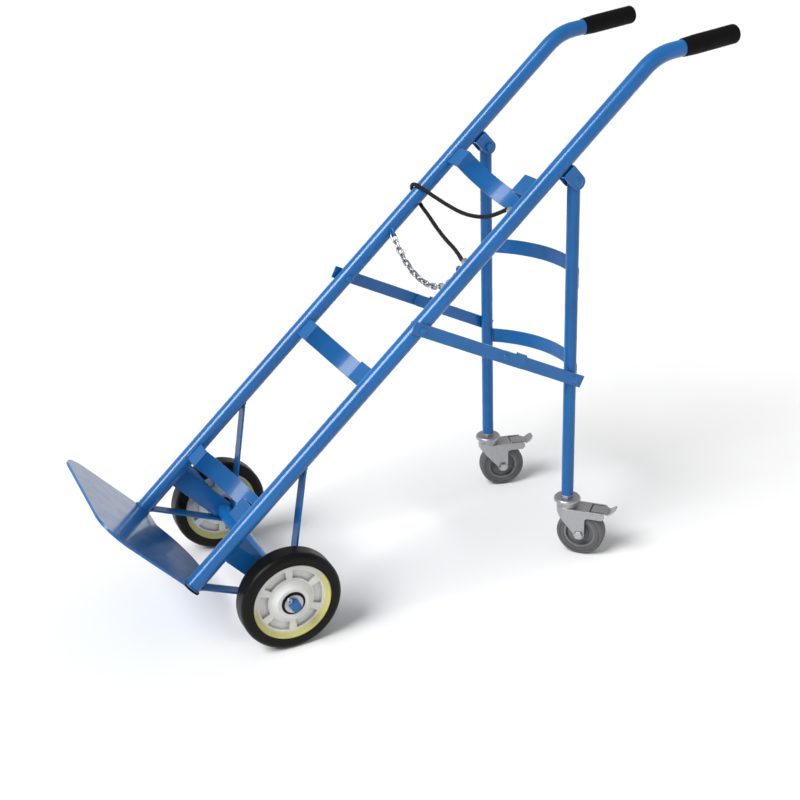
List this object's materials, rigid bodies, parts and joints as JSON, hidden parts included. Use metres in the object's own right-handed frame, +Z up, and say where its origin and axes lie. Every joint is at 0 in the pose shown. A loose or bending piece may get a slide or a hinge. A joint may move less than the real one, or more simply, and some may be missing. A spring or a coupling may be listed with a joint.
{
  "type": "gas cylinder trolley",
  "caption": "Folding four-wheel hand trolley with bent tube rails, toe plate, curved saddles, swivel-castor leg frame on folding stays, securing chain and elastic cord.",
  "frame": {"origin": "on the floor, below the middle of the trolley's bounding box, with the legs unfolded", "axes": "+X forward to the toe plate, +Y to the left, +Z up"},
  "size_m": [1.3188, 0.5046, 1.0509],
  "materials": {
    "rail_paint": "medium blue gloss paint",
    "leg_paint": "medium blue satin paint",
    "zinc": "bright zinc plating",
    "castor_zinc": "dull zinc plating on pressed steel",
    "chain_zinc": "bright zinc plating",
    "black_plastic": "soft black plastic",
    "hub_plastic": "off-white moulded plastic",
    "tyre_rubber": "black rubber",
    "seal_rubber": "black bearing seal",
    "castor_rubber": "dark grey rubber",
    "castor_plastic": "dark grey moulded plastic",
    "cord_black": "black woven sheath over elastic"
  },
  "bodies": {
    "frame": {"left_side_rail": "rail_paint", "right_side_rail": "rail_paint", "left_grip": "black_plastic", "right_grip": "black_plastic", "rail_feet": "black_plastic", "toe_plate": "rail_paint", "lower_saddle": "leg_paint", "middle_saddle": "leg_paint", "upper_saddle": "leg_paint", "left_axle_bracket": "rail_paint", "right_axle_bracket": "rail_paint", "left_upper_strut": "leg_paint", "right_upper_strut": "leg_paint", "left_lower_strut": "leg_paint", "right_lower_strut": "leg_paint", "axle_tube": "rail_paint", "wheel_axle": "rail_paint", "axle_washers": "zinc", "split_pins": "zinc", "left_hinge_bracket": "rail_paint", "right_hinge_bracket": "rail_paint", "hinge_bolts": "rail_paint", "stay_rail_bolts": "rail_paint", "chain_eyes": "rail_paint", "securing_chain": "chain_zinc", "chain_hook": "chain_zinc", "cord_ferrules": "zinc", "elastic_cord": "cord_black"},
    "left_wheel": {"left_wheel_hub": "hub_plastic", "left_wheel_tyre": "tyre_rubber", "left_wheel_bearings": "seal_rubber"},
    "right_wheel": {"right_wheel_hub": "hub_plastic", "right_wheel_tyre": "tyre_rubber", "right_wheel_bearings": "seal_rubber"},
    "leg_frame": {"left_leg": "leg_paint", "right_leg": "leg_paint", "upper_leg_band": "leg_paint", "lower_leg_band": "leg_paint", "stay_leg_bolts": "rail_paint", "castor_stems": "zinc", "castor_cups": "castor_zinc"},
    "left_front_stay": {"left_front_link": "rail_paint", "left_knuckle_rivet": "rail_paint"},
    "left_rear_stay": {"left_rear_link": "rail_paint"},
    "right_front_stay": {"right_front_link": "rail_paint", "right_knuckle_rivet": "rail_paint"},
    "right_rear_stay": {"right_rear_link": "rail_paint"},
    "left_castor": {"left_castor_fork": "castor_zinc", "left_castor_bolt": "zinc"},
    "left_castor_wheel": {"left_castor_hub": "castor_plastic", "left_castor_tyre": "castor_rubber"},
    "left_castor_brake": {"left_brake_pedal": "castor_zinc"},
    "right_castor": {"right_castor_fork": "castor_zinc", "right_castor_bolt": "zinc"},
    "right_castor_wheel": {"right_castor_hub": "castor_plastic", "right_castor_tyre": "castor_rubber"},
    "right_castor_brake": {"right_brake_pedal": "castor_zinc"}
  },
  "joints": [
    {"name": "left_wheel_spin", "type": "hinge", "parent": "frame", "child": "left_wheel", "pos_m": [0.34249, 0.212, 0.1], "axis": [0, 1, 0], "continuous": true},
    {"name": "right_wheel_spin", "type": "hinge", "parent": "frame", "child": "right_wheel", "pos_m": [0.34249, -0.212, 0.1], "axis": [0, 1, 0], "continuous": true},
    {"name": "leg_fold", "type": "hinge", "parent": "frame", "child": "leg_frame", "pos_m": [-0.29891, 0, 0.79801], "axis": [0, -1, 0], "range_deg": [0, 40]},
    {"name": "left_front_stay_pivot", "type": "hinge", "parent": "frame", "child": "left_front_stay", "pos_m": [0.03401, 0.1865, 0.56823], "axis": [0, 1, 0], "range_deg": [0, 46]},
    {"name": "left_rear_stay_pivot", "type": "hinge", "parent": "leg_frame", "child": "left_rear_stay", "pos_m": [-0.29891, 0.1865, 0.39701], "axis": [0, -1, 0], "range_deg": [0, 61.3]},
    {"name": "right_front_stay_pivot", "type": "hinge", "parent": "frame", "child": "right_front_stay", "pos_m": [0.03401, -0.1865, 0.56823], "axis": [0, 1, 0], "range_deg": [0, 46]},
    {"name": "right_rear_stay_pivot", "type": "hinge", "parent": "leg_frame", "child": "right_rear_stay", "pos_m": [-0.29891, -0.1865, 0.39701], "axis": [0, -1, 0], "range_deg": [0, 61.3]},
    {"name": "left_castor_swivel", "type": "hinge", "parent": "leg_frame", "child": "left_castor", "pos_m": [-0.29891, 0.17, 0.1035], "axis": [0, 0, 1], "continuous": true},
    {"name": "left_castor_spin", "type": "hinge", "parent": "left_castor", "child": "left_castor_wheel", "pos_m": [-0.32005, 0.19267, 0.05], "axis": [0.7314, 0.682, 0], "continuous": true},
    {"name": "left_brake_press", "type": "hinge", "parent": "left_castor", "child": "left_castor_brake", "pos_m": [-0.33846, 0.21242, 0.1005], "axis": [-0.7314, -0.682, 0], "range_deg": [0, 12]},
    {"name": "right_castor_swivel", "type": "hinge", "parent": "leg_frame", "child": "right_castor", "pos_m": [-0.29891, -0.17, 0.1035], "axis": [0, 0, 1], "continuous": true},
    {"name": "right_castor_spin", "type": "hinge", "parent": "right_castor", "child": "right_castor_wheel", "pos_m": [-0.32871, -0.16145, 0.05], "axis": [0.2756, 0.9613, 0], "continuous": true},
    {"name": "right_brake_press", "type": "hinge", "parent": "right_castor", "child": "right_castor_brake", "pos_m": [-0.35466, -0.15401, 0.1005], "axis": [-0.2756, -0.9613, 0], "range_deg": [0, 12]}
  ],
  "couplings": [
    {"joint": "left_front_stay_pivot", "follows": "leg_fold", "ratio": 1.1455},
    {"joint": "left_rear_stay_pivot", "follows": "leg_fold", "ratio": 1.5276},
    {"joint": "right_front_stay_pivot", "follows": "leg_fold", "ratio": 1.1455},
    {"joint": "right_rear_stay_pivot", "follows": "leg_fold", "ratio": 1.5276}
  ]
}
